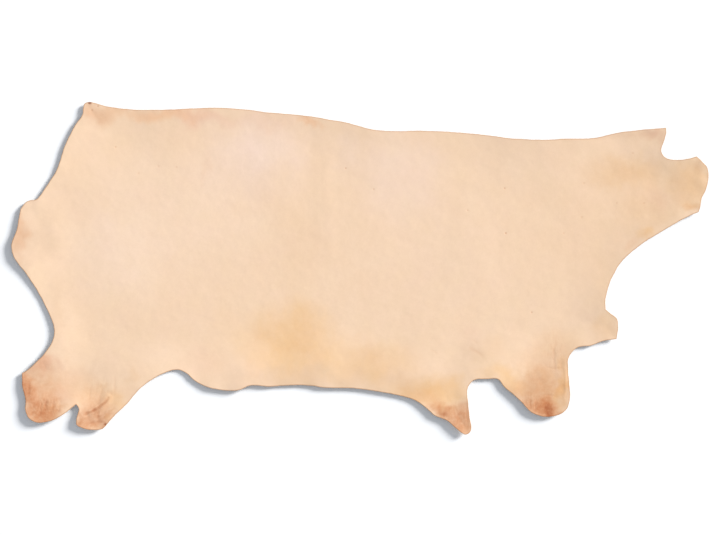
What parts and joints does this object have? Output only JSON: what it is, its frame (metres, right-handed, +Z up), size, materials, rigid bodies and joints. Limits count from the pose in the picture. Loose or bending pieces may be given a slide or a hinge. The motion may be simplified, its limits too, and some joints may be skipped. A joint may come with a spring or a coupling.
{
  "type": "leather side",
  "caption": "Whole side of natural undyed cattle leather, lying grain side up: a flat sheet with neck, shank flaps and belly edge, its rim a little off the ground.",
  "frame": {"origin": "on the ground, under the middle of the side's outline", "axes": "+X along the back towards the head, +Y across towards the backbone, +Z up out of the grain side"},
  "size_m": [2.434, 1.161, 0.0185],
  "materials": {
    "veg_tan_leather": "undyed, matt to silky grain side, pale brushed flesh side"
  },
  "bodies": {
    "root": {"leather_side": "veg_tan_leather"}
  },
  "joints": []
}
